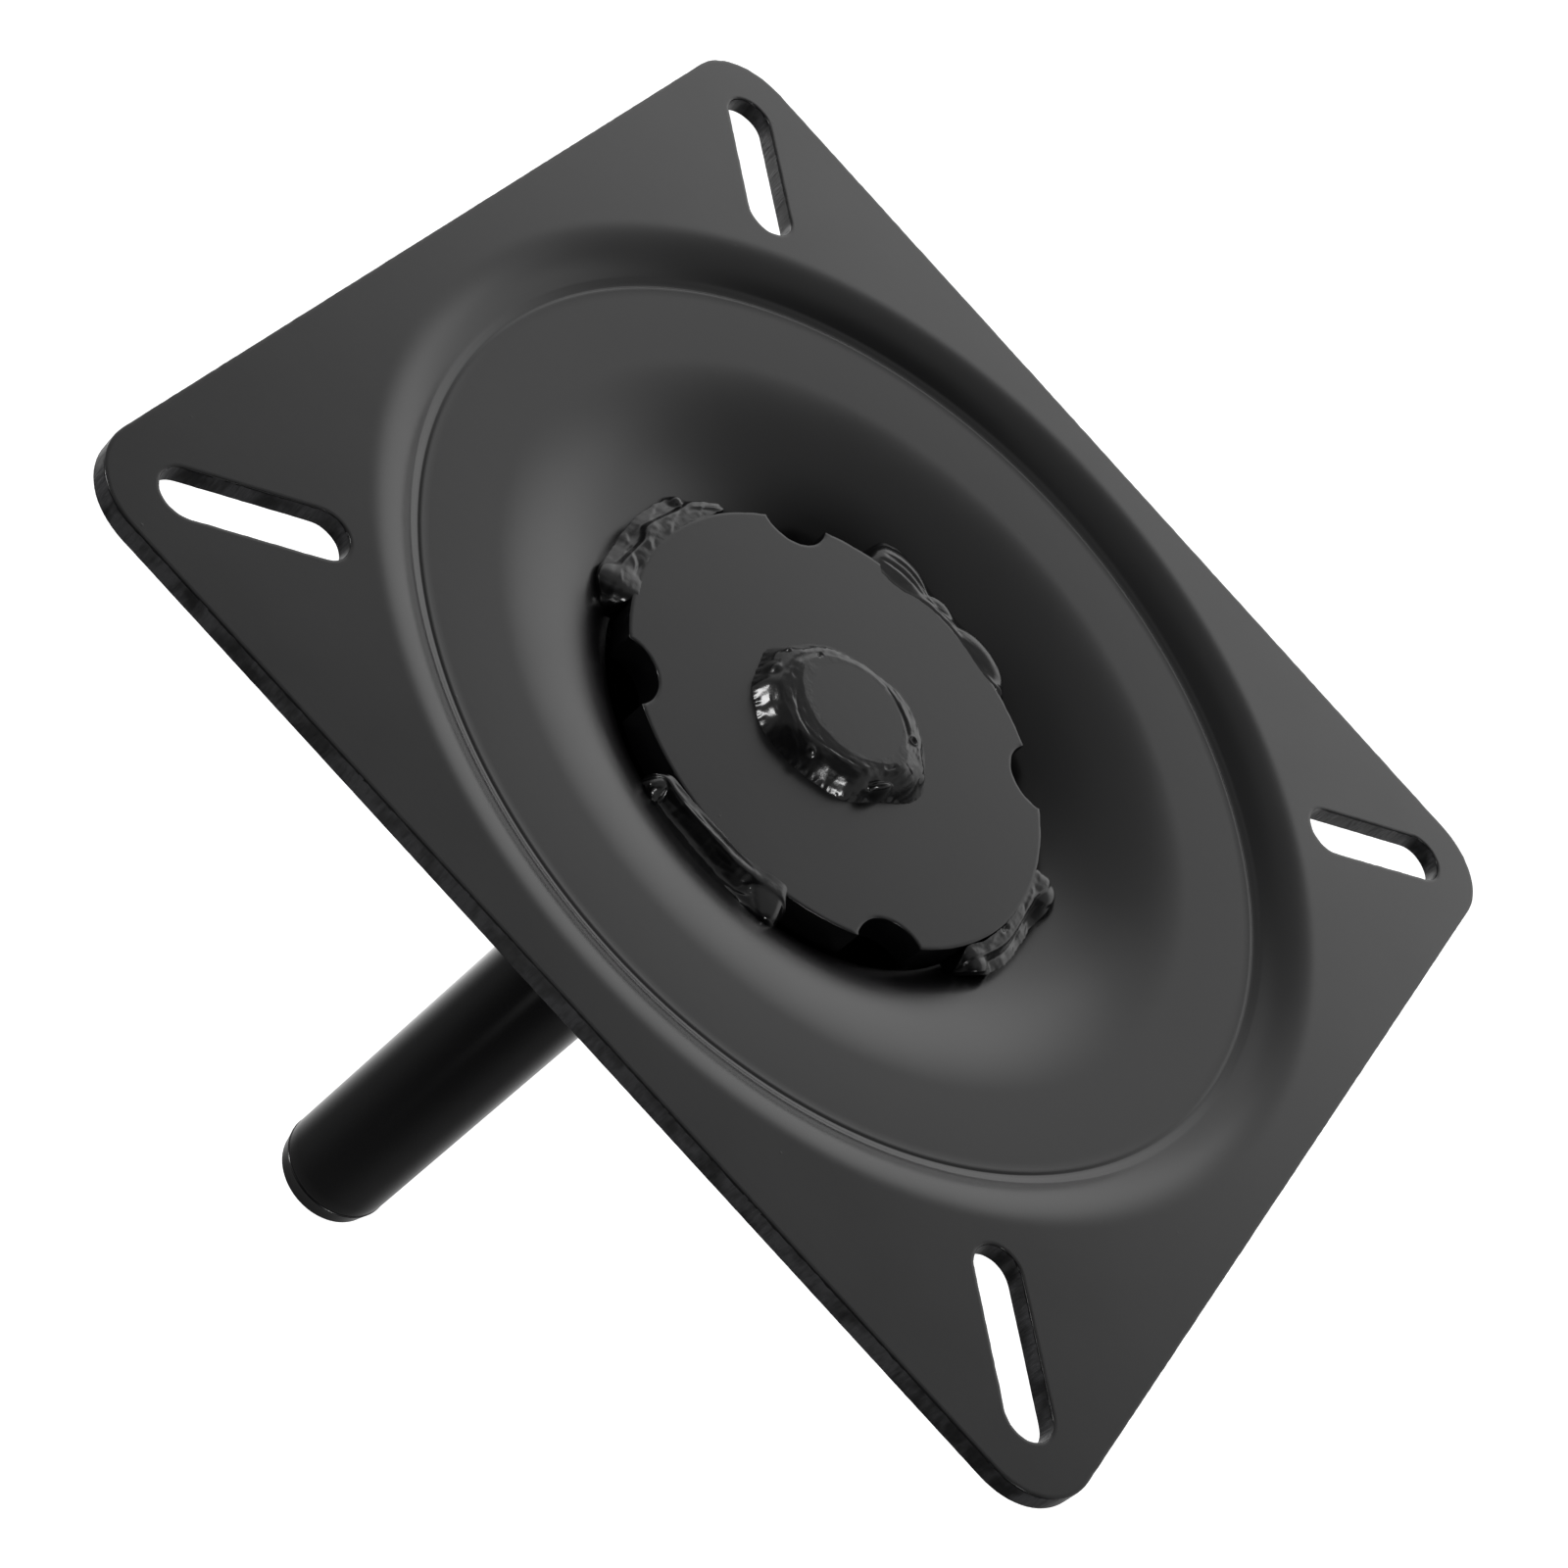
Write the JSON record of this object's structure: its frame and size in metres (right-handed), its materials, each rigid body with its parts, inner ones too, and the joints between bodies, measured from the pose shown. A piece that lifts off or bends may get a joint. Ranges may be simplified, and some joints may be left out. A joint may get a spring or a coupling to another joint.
{
  "type": "boat seat swivel",
  "caption": "Welded steel seat mount: a square slotted plate dished round a thick notched disc, on a round post that drops into a pedestal and turns there.",
  "frame": {"origin": "on the post's axis, level with the underside of the cup's floor, where the post leaves the plate", "axes": "+Z along the post, up towards the seat; X and Y along the sides of the square plate"},
  "size_m": [0.1778, 0.1778, 0.147],
  "materials": {
    "plate_paint": "satin black coat over stamped sheet steel",
    "disc_paint": "satin black coat over flat plate",
    "post_paint": "glossier black coat over drawn bar",
    "weld_paint": "gloss black coat over rippled weld metal"
  },
  "bodies": {
    "root": {"seat_plate": "plate_paint", "hub_disc": "disc_paint", "post": "post_paint", "post_top_weld": "weld_paint", "post_under_weld": "weld_paint", "rim_weld_front": "weld_paint", "rim_weld_right": "weld_paint", "rim_weld_back": "weld_paint", "rim_weld_left": "weld_paint"}
  },
  "joints": []
}
